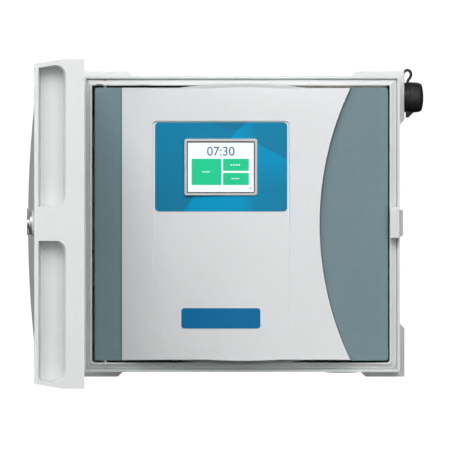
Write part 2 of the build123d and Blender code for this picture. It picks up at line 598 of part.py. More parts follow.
with BuildPart() as rear_cover:
    with BuildSketch(front(PACK_BACK)):
        with Locations(((PACK_LEFT + PACK_RIGHT) / 2, 0)):
            wide = PACK_RIGHT - PACK_LEFT - 2 * PACK_WALL - 0.4
            RectangleRounded(wide, 2 * (PACK_Z - PACK_WALL) - 0.4, 1)
        with Locations(*COVER_SCREWS):
            Circle(SCREW_R, mode=Mode.SUBTRACT)
        # opening of the battery drawer, slots for the ribbon cable and for air
        with Locations((BATTERY_X, BATTERY_Z)):
            RectangleRounded(30, 30, 2, mode=Mode.SUBTRACT)
        with Locations((RIBBON_END_X, RIBBON_Z)):
            Rectangle(4, 22, mode=Mode.SUBTRACT)
        with Locations((20, 90)):
            with GridLocations(8, 0, 7, 1):
                SlotOverall(26, 2.5, rotation=90, mode=Mode.SUBTRACT)
    extrude(amount=COVER_T)
write(rear_cover.part, "rear_cover")

with BuildPart() as cover_screws:
    for x, z in COVER_SCREWS:
        rod(x, z, PILOT_R - SNUG, PACK_BACK, PACK_BACK + 12)
        rod(x, z, HEAD_R, PACK_BACK - HEAD_H, PACK_BACK)
        low = (x - 1.8, PACK_BACK - HEAD_H - 1, z - 0.45)
        block(low, (x + 1.8, PACK_BACK - HEAD_H + 0.9, z + 0.45), Mode.SUBTRACT)
write(cover_screws.part, "cover_screws")

with BuildPart() as battery_holder:
    block((BATTERY_X - 14.8, PACK_BACK, BATTERY_Z - 14.8), (BATTERY_X + 14.8, 58, BATTERY_Z + 14.8))
    fillet(battery_holder.edges().filter_by(Axis.Y), 1.8)
    rod(BATTERY_X, BATTERY_Z, 10.2, PACK_BACK - 1, 54, Mode.SUBTRACT)
    block(
        (BATTERY_X - 4, PACK_BACK - 1, BATTERY_Z - 13), (BATTERY_X + 4, 52, BATTERY_Z), Mode.SUBTRACT
    )
    # flange inside the rear cover
    block((BATTERY_X - 17, 52, BATTERY_Z - 17), (BATTERY_X - 14.8, 54, BATTERY_Z + 17))
    block((BATTERY_X + 14.8, 52, BATTERY_Z - 17), (BATTERY_X + 17, 54, BATTERY_Z + 17))
write(battery_holder.part, "battery_holder")

with BuildPart() as coin_cell:
    rod(BATTERY_X, BATTERY_Z, 10, 50.8, 54)
    fillet(coin_cell.faces().sort_by(Axis.Y)[-1].edges(), 0.5)
write(coin_cell.part, "coin_cell")


def shell_outline(inset):
    """The corners and the waist of the shell's outline, drawn in by inset."""
    left, z = SHELL_LEFT + inset, PACK_Z - inset
    waist, end = WAIST_X - inset, WAIST_END_X - inset * 1.05
    return left, z, waist, end


def lowered(point, drop):
    return (point[0], point[1] - drop)


def crown_line(drop):
    """Draws the crown's section, lowered by drop: a long arc and a tighter one at its left."""
    knee = lowered(CROWN_KNEE, drop)
    main = ThreePointArc(knee, lowered(CROWN_TOP, drop), lowered(CROWN_RIGHT, drop))
    TangentArc(knee, lowered(CROWN_LEFT, drop), tangent=-(main % 0))


def crown_sides(drop, far):
    """Closes the crown's section with straight lines at a depth above or below it."""
    right, left = lowered(CROWN_RIGHT, drop), lowered(CROWN_LEFT, drop)
    Polyline(right, (right[0], far), (left[0], far), left)


# Everything under the crowned front, up to the level of the front less the wall
with BuildPart() as shell_core:
    left, z, waist, end = shell_outline(SHELL_T)
    with BuildSketch(front(PLATE_D - 1)):
        with BuildLine():
            ThreePointArc((end, z), (waist, 0), (end, -z))
            Polyline((end, -z), (left, -z), (left, z), (end, z))
        make_face()
    extrude(amount=30, taper=DRAFT)
    with BuildSketch(plan(PACK_Z + 5)):
        with BuildLine():
            crown_line(SHELL_T)
            crown_sides(SHELL_T, 60)
        make_face()
    extrude(amount=2 * PACK_Z + 10, mode=Mode.INTERSECT)

# The shallow recess: a copy of the crown that sinks as it rises from the foot
with BuildPart() as recess:
    with BuildSketch(plan(RECESS_FOOT)):
        with BuildLine():
            crown_line(RECESS_SHALLOW)
            crown_sides(RECESS_SHALLOW, 120)
        make_face()
    extrude(amount=RECESS_TOP - RECESS_FOOT, dir=(0, RECESS_TILT, 1))
    # sloping sides, and rounded corners at the head
    for edge, floor, out in ((RECESS_LEFT, 89, -1), (RECESS_RIGHT, 94, 1)):
        with BuildSketch(plan(150)):
            with BuildLine():
                foot = (edge + out * RECESS_SLOPE * (60 - floor), 60)
                head = (edge + out * RECESS_SLOPE * (130 - floor), 130)
                Polyline(foot, head, (edge + out * 120, 130), (edge + out * 120, 60), foot)
            make_face()
        extrude(amount=300, mode=Mode.SUBTRACT)
    head_edges = recess.faces().sort_by(Axis.Z)[-1].edges().sort_by(Axis.X)
    fillet([head_edges[0], head_edges[-1]], 4)

with BuildPart() as face_shell:
    left, z, waist, end = shell_outline(0)
    with BuildSketch(front(PLATE_D)):
        with BuildLine():
            ThreePointArc((end, z), (waist, 0), (end, -z))
            Polyline((end, -z), (left, -z), (left, z), (end, z))
        make_face()
    extrude(amount=25, taper=DRAFT)
    # finger lips at the head and the foot, in front of the inner frame
    with BuildSketch(front(LIP_D)):
        with BuildLine():
            ThreePointArc((LIP_LEFT, PACK_Z - 1), (LIP_MID, LIP_Z), (LIP_RIGHT, PACK_Z - 1))
            Line((LIP_RIGHT, PACK_Z - 1), (LIP_RIGHT, PACK_Z - 25))
            Line((LIP_RIGHT, PACK_Z - 25), (LIP_LEFT, PACK_Z - 25))
            Line((LIP_LEFT, PACK_Z - 25), (LIP_LEFT, PACK_Z - 1))
        make_face()
        mirror(about=Plane.XZ)
    extrude(amount=25, taper=LIP_DRAFT)
    with BuildSketch(plan(PACK_Z + 10)):
        with BuildLine():
            crown_line(0)
            crown_sides(0, 60)
        make_face()
    extrude(amount=2 * PACK_Z + 20, mode=Mode.INTERSECT)
    add(recess.part, mode=Mode.SUBTRACT)
    add(shell_core.part, mode=Mode.SUBTRACT)
    # window of the screen
    with BuildSketch(front(PLATE_D)):
        with Locations((SCREEN_X, SCREEN_Z)):
            RectangleRounded(BEZEL_W, BEZEL_H, 2.5)
    extrude(amount=30, mode=Mode.SUBTRACT)
write(face_shell.part, "face_shell")

# A film as thick as the label, all over the recess: the label and the badge are cut from it
with BuildPart() as film:
    with BuildSketch(plan(RECESS_FOOT)):
        with BuildLine():
            over = RECESS_SHALLOW - LABEL_T
            crown_line(RECESS_SHALLOW)
            crown_line(over)
            Line(lowered(CROWN_LEFT, RECESS_SHALLOW), lowered(CROWN_LEFT, over))
            Line(lowered(CROWN_RIGHT, RECESS_SHALLOW), lowered(CROWN_RIGHT, over))
        make_face()
    extrude(amount=RECESS_TOP - RECESS_FOOT + 5, dir=(0, RECESS_TILT, 1))

with BuildPart() as overlay:
    with BuildSketch(front(PLATE_D)):
        with Locations(((LABEL_LEFT + LABEL_RIGHT) / 2, (LABEL_LOW + LABEL_HIGH) / 2)):
            RectangleRounded(LABEL_RIGHT - LABEL_LEFT, LABEL_HIGH - LABEL_LOW, 4)
        with Locations((SCREEN_X, SCREEN_Z)):
            RectangleRounded(BEZEL_W, BEZEL_H, 2.5, mode=Mode.SUBTRACT)
    extrude(amount=30)
    add(film.part, mode=Mode.INTERSECT)
write(overlay.part, "overlay_label")

with BuildPart() as face_badge:
    with BuildSketch(front(PLATE_D)):
        with Locations((SCREEN_X, BADGE_Z)):
            RectangleRounded(BADGE_W, BADGE_H, 3)
    extrude(amount=30)
    add(film.part, mode=Mode.INTERSECT)
write(face_badge.part, "face_badge")

with BuildPart() as screen_bezel:
    with BuildSketch(front(BEZEL_BACK)):
        with Locations((SCREEN_X, SCREEN_Z)):
            RectangleRounded(BEZEL_W, BEZEL_H, 2.5)
    extrude(amount=BEZEL_FRONT - BEZEL_BACK)
    chamfer(screen_bezel.faces().sort_by(Axis.Y)[0].edges(), 0.6)
    with BuildSketch(front(BEZEL_BACK - 1)):
        with Locations((SCREEN_X, SCREEN_Z)):
            Rectangle(GLASS_W, GLASS_H)
    extrude(amount=BEZEL_FRONT - BEZEL_BACK + 2, mode=Mode.SUBTRACT)
write(screen_bezel.part, "screen_bezel")

with BuildPart() as touch_glass:
    with BuildSketch(front(BEZEL_FRONT - 2.2)):
        with Locations((SCREEN_X, SCREEN_Z)):
            Rectangle(GLASS_W, GLASS_H)
    extrude(amount=1.4)
write(touch_glass.part, "touch_glass")

with BuildPart() as display_panel:
    with BuildSketch(front(BEZEL_BACK)):
        with Locations((SCREEN_X, SCREEN_Z)):
            Rectangle(GLASS_W, GLASS_H)
    extrude(amount=BEZEL_FRONT - 2.2 - BEZEL_BACK)
    with BuildSketch(front(BOARD_D + BOARD_T)):
        with Locations((SCREEN_X, SCREEN_Z)):
            with GridLocations(GLASS_W - 6, GLASS_H - 6, 2, 2):
                Circle(2.5)
    extrude(amount=BEZEL_BACK - BOARD_D - BOARD_T)
write(display_panel.part, "display_panel")

with BuildPart() as control_board:
    block((-101, BOARD_D, -70), (59, BOARD_D + BOARD_T, 110))
    for x in (-100, 57):
        for z in (-66, 20, 106):
            rod(x + 0.5, z, 2.5, PLATE_D, BOARD_D)
    # the ribbon cable's socket faces the wall
    block((RIBBON_END_X - 5, 70, RIBBON_Z - 12), (RIBBON_END_X + 5, BOARD_D, RIBBON_Z + 12))
    block(
        (RIBBON_END_X - 0.6, 69, RIBBON_Z - 10.1),
        (RIBBON_END_X + 0.6, 76, RIBBON_Z + 10.1),
        Mode.SUBTRACT,
    )
write(control_board.part, "control_board")

with BuildPart() as wireless_module:
    block((20, BOARD_D + BOARD_T, -56), (44, BOARD_D + BOARD_T + 0.8, -24))
    block((22, BOARD_D + BOARD_T + 0.8, -48), (42, BOARD_D + BOARD_T + 3, -26))
write(wireless_module.part, "wireless_module")

# The ribbon hangs in a loop beside the pivots, from the terminal board to the control board
with BuildPart() as ribbon_cable:
    with BuildSketch(plan(RIBBON_Z + 10)):
        with BuildLine():
            Spline(
                (-47, 12.6),
                (-60, 12.6),
                (-84, 24),
                (RIBBON_END_X, 46),
                (RIBBON_END_X, 76),
                tangents=((-1, 0), (0, 1)),
            )
        trace(line_width=0.9)
    extrude(amount=20)
write(ribbon_cable.part, "ribbon_cable")

# ================================================================ door
# Drawn shut, then swung open about its hinge by the last step of each piece.
HINGE_AXIS = Axis((HINGE_X, -HINGE_D, 0), (0, 0, 1))


def swung(part):
    """A door piece, turned from shut to the angle at which the door rests."""
    return part.rotate(HINGE_AXIS, -DOOR_OPEN)


def door_profile(inset, back):
    """Corners of the door's upright section, as (depth, Z), drawn in by inset."""
    z = DOOR_Z - inset
    shoulder = DOOR_SHOULDER - inset * DOOR_TAPER / 2
    face = DOOR_FACE - inset
    drop = DOOR_TAPER * (face - shoulder)
    return [(back, -z), (back, z), (shoulder, z), (face, z - drop), (face, -z + drop), (shoulder, -z)]


def door_crown(inset):
    """The swelling of the door's face as a solid of its own, moved in by inset."""
    top = DOOR_FACE + CROWN_RISE - inset
    reach = CROWN_HALF_X + 10
    low = top - CROWN_RISE * (reach / CROWN_HALF_X) ** 2
    radius = (CROWN_HALF_Z**2 + CROWN_RISE**2) / (2 * CROWN_RISE)
    axis = Axis((0, radius - top, 0), (1, 0, 0))
    with BuildPart() as crown:
        with BuildSketch(plan(0)):
            with BuildLine():
                ThreePointArc((CROWN_X - reach, low), (CROWN_X, top), (CROWN_X + reach, low))
                Polyline(
                    (CROWN_X + reach, low),
                    (CROWN_X + reach, low - 5),
                    (CROWN_X - reach, low - 5),
                    (CROWN_X - reach, low),
                )
            make_face()
        revolve(axis=axis, revolution_arc=14)
    return crown.part.rotate(axis, -7)


def grip(skin, start):
    """Both finger pockets, made bigger all round by skin and sunk from X = start."""
    with BuildPart() as pockets:
        for up in (1, -1):
            with BuildSketch(side(start)) as mouth:
                back, face = GRIP_BACK - skin, GRIP_FRONT + skin
                top = GRIP_TOP + skin
                Polygon(
                    (back, up * (GRIP_Z - skin)),
                    (back, up * top),
                    (face, up * (top - DOOR_TAPER * (face - back))),
                    (face, up * (GRIP_Z - skin)),
                    align=None,
                )
                fillet(mouth.vertices().group_by(Axis.X)[0], GRIP_R + skin)
            extrude(amount=start - GRIP_X + skin, taper=GRIP_DRAFT)
    return pockets.part


with BuildPart() as door_inside:
    with BuildSketch(side(DOOR_RIGHT - DOOR_WALL)):
        Polygon(*door_profile(DOOR_WALL, DOOR_BACK - 1), align=None)
    extrude(amount=DOOR_RIGHT - DOOR_LEFT - 2 * DOOR_WALL)
    add(door_crown(DOOR_WALL))

with BuildPart() as door_shell:
    with BuildSketch(side(DOOR_RIGHT)):
        Polygon(*door_profile(0, DOOR_BACK), align=None)
    extrude(amount=DOOR_RIGHT - DOOR_LEFT)
    fillet(door_shell.faces().sort_by(Axis.Y)[0].edges(), DOOR_EDGE)
    add(door_crown(0))
    add(door_inside.part, mode=Mode.SUBTRACT)
    add(grip(GRIP_SKIN, DOOR_RIGHT - 1))
    add(grip(0, DOOR_RIGHT + 0.5), mode=Mode.SUBTRACT)
    # flat seats for the lock, outside and inside
    rod(LOCK_X, LOCK_Z, 11.5, NUT_SEAT, LOCK_SEAT)
    # knuckles above and below each hinge lug, and room for the lug and its arm
    for up in (1, -1):
        for low, high in ((98, 107.6), (118.4, 128)):
            upright(HINGE_X, HINGE_D, 4.3, min(up * low, up * high), max(up * low, up * high))
            block((DOOR_LEFT, HINGE_D, up * low), (HINGE_X + 4.3, HINGE_D + 8, up * high))
        block(
            (DOOR_LEFT - 3, DOOR_BACK - 2, up * 107.2),
            (HINGE_X + 7, HINGE_D + 6, up * 118.8),
            Mode.SUBTRACT,
        )
    upright(HINGE_X, HINGE_D, HINGE_R + RUNNING, -130, 130, Mode.SUBTRACT)
    # hole for the lock
    rod(LOCK_X, LOCK_Z, LOCK_R + SNUG, 110, 130, Mode.SUBTRACT)
write(swung(door_shell.part), "door_shell")

with BuildPart() as door_badge:
    with BuildSketch(front(DOOR_FACE - 2)):
        with Locations((CROWN_X, 2)):
            RectangleRounded(110, 25, 4)
    extrude(amount=12)
    add(door_crown(-1.0), mode=Mode.INTERSECT)
    add(door_crown(0), mode=Mode.SUBTRACT)
write(swung(door_badge.part), "door_badge")

with BuildPart() as lock_housing:
    rod(LOCK_X, LOCK_Z, LOCK_R, CAM_D + CAM_T + 0.3, LOCK_SEAT)
    rod(LOCK_X, LOCK_Z, 10.5, LOCK_SEAT, LOCK_FRONT)
    fillet(lock_housing.faces().sort_by(Axis.Y)[0].edges(), 0.8)
    rod(LOCK_X, LOCK_Z, PLUG_R + RUNNING, 80, 130, Mode.SUBTRACT)
write(swung(lock_housing.part), "lock_housing")

with BuildPart() as lock_nut:
    with BuildSketch(front(NUT_SEAT - 3.4)):
        with Locations((LOCK_X, LOCK_Z)):
            RegularPolygon(11.2, 6)
            Circle(LOCK_R + SNUG, mode=Mode.SUBTRACT)
    extrude(amount=3.4)
write(swung(lock_nut.part), "lock_nut")

with BuildPart() as lock_plug:
    rod(LOCK_X, LOCK_Z, PLUG_R, CAM_D + CAM_T, LOCK_FRONT + 1.6)
    # key slot
    block(
        (LOCK_X - 0.6, LOCK_FRONT - 6, LOCK_Z - 3.6),
        (LOCK_X + 0.6, LOCK_FRONT + 2, LOCK_Z + 3.6),
        Mode.SUBTRACT,
    )
    rod(LOCK_X, LOCK_Z, 1.55, CAM_D, CAM_D + CAM_T + 8, Mode.SUBTRACT)
write(swung(lock_plug.part), "lock_plug")

with BuildPart() as lock_cam:
    with BuildSketch(front(CAM_D)):
        with Locations((LOCK_X, LOCK_Z)):
            Circle(6.4)
        with Locations((LOCK_X, LOCK_Z - CAM_LONG / 2)):
            Rectangle(8, CAM_LONG)
        with Locations((LOCK_X, LOCK_Z)):
            Circle(1.75, mode=Mode.SUBTRACT)
    extrude(amount=CAM_T)
write(swung(lock_cam.part), "lock_cam")

with BuildPart() as cam_screw:
    rod(LOCK_X, LOCK_Z, 3.0, CAM_D - 1.2, CAM_D)
    rod(LOCK_X, LOCK_Z, 1.5, CAM_D, CAM_D + CAM_T + 6)
write(swung(cam_screw.part), "cam_screw")
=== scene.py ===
import bmesh
import bpy
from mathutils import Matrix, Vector


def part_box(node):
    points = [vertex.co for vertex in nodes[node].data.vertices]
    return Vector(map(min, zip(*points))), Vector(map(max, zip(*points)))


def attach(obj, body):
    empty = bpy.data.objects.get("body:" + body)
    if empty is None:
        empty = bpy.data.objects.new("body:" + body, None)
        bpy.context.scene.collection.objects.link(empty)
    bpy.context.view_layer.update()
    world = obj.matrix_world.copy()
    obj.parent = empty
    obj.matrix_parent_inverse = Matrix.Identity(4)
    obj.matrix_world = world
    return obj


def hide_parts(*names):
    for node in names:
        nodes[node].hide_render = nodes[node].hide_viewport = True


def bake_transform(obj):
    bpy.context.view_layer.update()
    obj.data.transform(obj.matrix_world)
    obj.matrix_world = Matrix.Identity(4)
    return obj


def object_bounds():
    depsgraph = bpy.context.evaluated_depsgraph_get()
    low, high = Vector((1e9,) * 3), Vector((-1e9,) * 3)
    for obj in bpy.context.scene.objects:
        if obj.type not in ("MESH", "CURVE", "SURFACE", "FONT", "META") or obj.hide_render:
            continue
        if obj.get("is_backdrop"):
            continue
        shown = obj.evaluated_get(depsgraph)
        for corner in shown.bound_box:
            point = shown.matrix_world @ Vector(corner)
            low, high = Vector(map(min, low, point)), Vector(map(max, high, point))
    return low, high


UPRIGHT = 1.5707963  # a quarter turn, which stands a flat thing up to face -Y
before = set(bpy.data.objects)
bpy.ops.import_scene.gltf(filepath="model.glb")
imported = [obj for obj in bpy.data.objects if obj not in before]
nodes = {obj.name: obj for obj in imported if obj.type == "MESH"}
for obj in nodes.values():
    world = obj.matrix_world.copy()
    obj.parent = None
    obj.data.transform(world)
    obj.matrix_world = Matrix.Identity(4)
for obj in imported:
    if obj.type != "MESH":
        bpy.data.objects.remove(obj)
cad_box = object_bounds()


# ---------------------------------------------------------------- helpers
def linear(r, g, b):
    """A display colour, 0 to 255, as a linear one."""
    out = []
    for value in (r, g, b):
        value = value / 255
        out.append(value / 12.92 if value <= 0.04045 else ((value + 0.055) / 1.055) ** 2.4)
    return (*out, 1.0)


def shade(colour, factor):
    """The colour made lighter or darker."""
    return (*[min(1.0, channel * factor) for channel in colour[:3]], 1.0)


class Shader:
    """A material's nodes, with short calls for the ones used here."""

    def __init__(self, name):
        self.material = bpy.data.materials.new(name)
        self.material.use_nodes = True
        self.tree = self.material.node_tree
        self.bsdf = self.tree.nodes["Principled BSDF"]
        self.place = self.tree.nodes.new("ShaderNodeTexCoord").outputs["Object"]

    def link(self, a, b):
        self.tree.links.new(a, b)

    def noise(self, scale, detail=3.0, rough=0.55, stretch=None):
        place = self.place
        if stretch:
            mapping = self.tree.nodes.new("ShaderNodeMapping")
            mapping.inputs["Scale"].default_value = stretch
            self.link(place, mapping.inputs["Vector"])
            place = mapping.outputs["Vector"]
        node = self.tree.nodes.new("ShaderNodeTexNoise")
        node.inputs["Scale"].default_value = scale
        node.inputs["Detail"].default_value = detail
        node.inputs["Roughness"].default_value = rough
        self.link(place, node.inputs["Vector"])
        return node.outputs["Fac"]

    def span(self, value, low, high, start=0.3, end=0.7):
        node = self.tree.nodes.new("ShaderNodeMapRange")
        node.inputs["From Min"].default_value = start
        node.inputs["From Max"].default_value = end
        node.inputs["To Min"].default_value = low
        node.inputs["To Max"].default_value = high
        self.link(value, node.inputs["Value"])
        return node.outputs["Result"]

    def math(self, operation, a, b=None, c=None):
        node = self.tree.nodes.new("ShaderNodeMath")
        node.operation = operation
        for socket, value in zip(node.inputs, (a, b, c)):
            if value is None:
                continue
            if isinstance(value, (int, float)):
                socket.default_value = value
            else:
                self.link(value, socket)
        return node.outputs[0]

    def mix(self, factor, a, b):
        node = self.tree.nodes.new("ShaderNodeMix")
        node.data_type = "RGBA"
        self.link(factor, node.inputs["Factor"])
        for socket, value in ((node.inputs["A"], a), (node.inputs["B"], b)):
            if hasattr(value, "links"):
                self.link(value, socket)
            else:
                socket.default_value = value
        return node.outputs["Result"]

    def bump(self, *layers):
        """Layers are (height, strength, distance); each is added on the one before."""
        normal = None
        for height, strength, distance in layers:
            node = self.tree.nodes.new("ShaderNodeBump")
            node.inputs["Strength"].default_value = strength
            node.inputs["Distance"].default_value = distance
            self.link(height, node.inputs["Height"])
            if normal is not None:
                self.link(normal, node.inputs["Normal"])
            normal = node.outputs["Normal"]
        self.link(normal, self.bsdf.inputs["Normal"])


def plastic(name, colour, rough=0.5, grain=2600, depth=0.12, mottle=0.03, specular=0.5):
    """Moulded plastic: a fine spark-eroded grain, slight flow marks and a little uneven gloss."""
    s = Shader(name)
    flow = s.noise(9, 4, 0.6)
    fine = s.noise(grain, 2, 0.5)
    dust = s.noise(160, 5, 0.7)
    base = s.mix(s.span(flow, 0, 1), shade(colour, 1 - mottle), shade(colour, 1 + mottle))
    dusty = s.mix(s.span(dust, 0, 1, 0.45, 0.75), base, shade(colour, 1 - 1.5 * mottle))
    s.link(dusty, s.bsdf.inputs["Base Color"])
    s.link(s.span(s.noise(45, 4, 0.65), rough - 0.06, rough + 0.08), s.bsdf.inputs["Roughness"])
    s.bsdf.inputs["Specular IOR Level"].default_value = specular
    s.bump((flow, 0.02, 0.0004), (fine, depth, 0.00012))
    return s.material


def rubber(name, colour, rough=0.62):
    """Matt rubber or foam with a paler bloom in patches."""
    s = Shader(name)
    bloom = s.span(s.noise(120, 5, 0.7), 0, 1)
    s.link(s.mix(bloom, shade(colour, 0.8), shade(colour, 1.5)), s.bsdf.inputs["Base Color"])
    s.link(s.span(s.noise(260, 3, 0.6), rough - 0.1, rough + 0.12), s.bsdf.inputs["Roughness"])
    s.bump((s.noise(1800, 3, 0.6), 0.2, 0.00015))
    return s.material


def metal(name, colour, rough=0.35, stretch=(1, 1, 1)):
    """Plated or bare metal with drawn marks along one axis."""
    s = Shader(name)
    marks = s.noise(700, 4, 0.6, stretch)
    patches = s.span(s.noise(40, 4), 0, 1)
    s.link(s.mix(patches, shade(colour, 0.86), shade(colour, 1.08)), s.bsdf.inputs["Base Color"])
    s.link(s.span(marks, rough - 0.08, rough + 0.14), s.bsdf.inputs["Roughness"])
    s.bsdf.inputs["Metallic"].default_value = 1.0
    s.bump((marks, 0.12, 0.0001))
    return s.material


def board(name, colour):
    """A circuit board: solder mask over copper tracks."""
    s = Shader(name)
    bricks = s.tree.nodes.new("ShaderNodeTexBrick")
    bricks.inputs["Scale"].default_value = 120
    bricks.inputs["Mortar Size"].default_value = 0.035
    bricks.inputs["Color1"].default_value = shade(colour, 0.9)
    bricks.inputs["Color2"].default_value = shade(colour, 1.15)
    bricks.inputs["Mortar"].default_value = shade(colour, 1.9)
    s.link(s.place, bricks.inputs["Vector"])
    s.link(bricks.outputs["Color"], s.bsdf.inputs["Base Color"])
    s.link(s.span(s.noise(90), 0.3, 0.45), s.bsdf.inputs["Roughness"])
    s.bump((bricks.outputs["Fac"], 0.25, 0.00005))
    return s.material


def finish(node, material):
    """Gives a CAD node its material, on the slots that it came with."""
    mesh = nodes[node].data
    if not mesh.materials:
        mesh.materials.append(material)
    for index in range(len(mesh.materials)):
        mesh.materials[index] = material


def new_object(name, bm, material, smooth=True):
    """A new object in the scene from a bmesh, which is used up."""
    mesh = bpy.data.meshes.new(name)
    bmesh.ops.recalc_face_normals(bm, faces=bm.faces)
    bm.to_mesh(mesh)
    bm.free()
    mesh.materials.append(material)
    if smooth:
        mesh.shade_smooth()
    piece = bpy.data.objects.new(name, mesh)
    bpy.context.scene.collection.objects.link(piece)
    return piece


# ---------------------------------------------------------------- materials
case = plastic("case_grey", linear(226, 228, 227), rough=0.42, depth=0.10, mottle=0.02)
door_grey = plastic("door_grey", linear(208, 210, 209), rough=0.42, depth=0.10, mottle=0.015)
panel_white = plastic(
    "panel_white", linear(236, 238, 239), rough=0.36, grain=3200, depth=0.07, mottle=0.015
)
slate = plastic("slate", linear(115, 141, 147), rough=0.34, grain=3000, depth=0.08, mottle=0.04)
dark_plastic = plastic("dark_plastic", linear(38, 42, 44), rough=0.45, mottle=0.08)
black_plastic = plastic("black_plastic", linear(24, 24, 25), rough=0.40, mottle=0.1)
grey_plastic = plastic("grey_plastic", linear(150, 152, 152), rough=0.5)
bezel_grey = plastic("bezel_grey", linear(214, 214, 212), rough=0.3, grain=4000, depth=0.05)
red_plastic = plastic("red_plastic", linear(170, 60, 40), rough=0.4)
black_rubber = rubber("black_rubber", linear(28, 28, 29))
seal = plastic("seal_grey", linear(172, 180, 182), rough=0.6)
# head_tape is a foam tape, and its pale beige is partly painted light: it stands in for the light that
# falls through the gap at the head of the opening
tape_and_gap_light = rubber("tape_beige_gap_light", linear(186, 172, 152))
steel = metal("steel", linear(188, 189, 190), 0.38)
zinc = metal("zinc", linear(176, 178, 180), 0.42, (1, 1, 12))
laminate = metal("laminate", linear(84, 85, 88), 0.5, (1, 40, 1))
brass = metal("brass", linear(190, 160, 92), 0.34)
copper_tape = plastic("coil_tape", linear(196, 168, 92), rough=0.35, mottle=0.08)
green_board = board("green_board", linear(28, 92, 58))

for name, material in {
    "cabinet_tub": case, "inner_frame": case, "door_catch": case, "door_shell": door_grey,
    "door_badge": grey_plastic, "face_frame": slate, "face_shell": panel_white,
    "rim_gasket": seal, "head_tape": tape_and_gap_light, "connector_gasket": black_rubber, "dust_cap": black_rubber,
    "connector_body": black_plastic, "connector_nut": black_plastic, "connector_insert": black_plastic,
    "connector_pins": brass, "door_hinge_pins": steel, "facepack_pivots": steel,
    "terminal_board": green_board, "control_board": green_board, "board_screws": steel,
    "power_module": dark_plastic, "output_module_1": dark_plastic, "output_module_2": dark_plastic,
    "output_module_3": dark_plastic, "output_module_4": dark_plastic, "terminal_screws": steel,
    "module_lock_slide": red_plastic, "transformer_core": laminate, "transformer_coil": copper_tape,
    "transformer_bracket": zinc, "transformer_screws": steel, "junction_cover": grey_plastic,
    "junction_cover_screw": steel, "mains_terminals": black_plastic, "mains_terminal_screws": brass,
    "ground_lug": brass, "conduit_plug": grey_plastic, "rear_cover": dark_plastic,
    "cover_screws": steel, "battery_holder": black_plastic, "coin_cell": steel,
    "screen_bezel": bezel_grey, "wireless_module": zinc, "lock_housing": zinc, "lock_nut": zinc,
    "lock_plug": steel, "lock_cam": zinc, "cam_screw": steel,
}.items():
    finish(name, material)


def glass(name, tint, shine):
    """Clear sheet: mostly see-through, with a faint reflection that varies with smudges."""
    s = Shader(name)
    clear = s.tree.nodes.new("ShaderNodeBsdfTransparent")
    clear.inputs["Color"].default_value = tint
    gloss = s.tree.nodes.new("ShaderNodeBsdfGlossy")
    s.link(s.span(s.noise(60, 4), 0.04, 0.12), gloss.inputs["Roughness"])
    blend = s.tree.nodes.new("ShaderNodeMixShader")
    s.link(s.span(s.noise(25, 3), 0.8 * shine, 1.2 * shine), blend.inputs[0])
    s.link(clear.outputs[0], blend.inputs[1])
    s.link(gloss.outputs[0], blend.inputs[2])
    s.link(blend.outputs[0], s.tree.nodes["Material Output"].inputs["Surface"])
    return s.material


finish("touch_glass", glass("screen_glass", linear(250, 254, 255), 0.015))
finish("fuse", glass("fuse_glass", linear(205, 210, 205), 0.2))


def overlay_blue():
    """Printed blue film with broad, faintly lighter facets."""
    s = Shader("overlay_blue")
    split = s.tree.nodes.new("ShaderNodeSeparateXYZ")
    s.link(s.place, split.inputs["Vector"])
    x, z = split.outputs["X"], split.outputs["Z"]

    def facet(amount, *lines):
        """The amount, where every line's a*x + b*z is over its c, and nothing elsewhere."""
        for a, b, c in lines:
            along = s.math("ADD", s.math("MULTIPLY", x, a), s.math("MULTIPLY", z, b))
            amount = s.math("MULTIPLY", s.math("GREATER_THAN", along, c), amount)
        return amount

    tone = s.span(z, 0.22, 0.42, 0.012, 0.100)
    for part in (
        facet(-0.20, (0.326, 0.946, 0.0851), (-0.581, 0.814, 0.0781)),
        facet(s.span(x, 0.55, 0.0, -0.002, 0.016), (0.581, -0.814, -0.0781), (0.835, -0.550, -0.0552)),
        facet(s.span(z, 0.0, 0.50, 0.024, 0.062), (-0.466, -0.885, -0.0773), (1.0, 0.0, 0.005)),
        facet(s.span(x, 0.30, 0.12, -0.045, 0.030), (0.914, -0.406, -0.0537), (0.0, -1.0, -0.030)),
        s.span(s.noise(30, 3), -0.05, 0.05),
    ):
        tone = s.math("ADD", tone, part)
    blue = s.mix(s.span(tone, 0, 1, 0, 1), linear(30, 118, 152), linear(0, 158, 208))
    s.link(blue, s.bsdf.inputs["Base Color"])
    s.bsdf.inputs["Specular IOR Level"].default_value = 0.12
    s.link(s.span(s.noise(220, 3), 0.34, 0.46), s.bsdf.inputs["Roughness"])
    s.bump((s.noise(2400, 2), 0.06, 0.0001))
    return s.material


finish("overlay_label", overlay_blue())
badge_blue = plastic("badge_blue", linear(0, 116, 172), rough=0.35, mottle=0.05, specular=0.2)
finish("face_badge", badge_blue)


def screen_white():
    """The lit background of the screen."""
    s = Shader("screen_white")
    s.bsdf.inputs["Base Color"].default_value = (0.02, 0.02, 0.02, 1)
    patches = s.span(s.noise(14, 2), 0, 1)
    s.link(s.mix(patches, linear(246, 251, 253), linear(252, 254, 254)), s.bsdf.inputs["Emission Color"])
    s.bsdf.inputs["Emission Strength"].default_value = 1.05
    s.bsdf.inputs["Roughness"].default_value = 0.25
    return s.material


finish("display_panel", screen_white())

# ---------------------------------------------------------------- the picture on the screen
def lit(name, colour):
    """A colour of the lit picture."""
    s = Shader(name)
    s.bsdf.inputs["Base Color"].default_value = (0.01, 0.01, 0.01, 1)
    s.bsdf.inputs["Roughness"].default_value = 0.3
    patches = s.span(s.noise(30, 2), 0, 1)
    s.link(s.mix(patches, shade(colour, 0.95), shade(colour, 1.05)), s.bsdf.inputs["Emission Color"])
    s.bsdf.inputs["Emission Strength"].default_value = 0.95
    return s.material


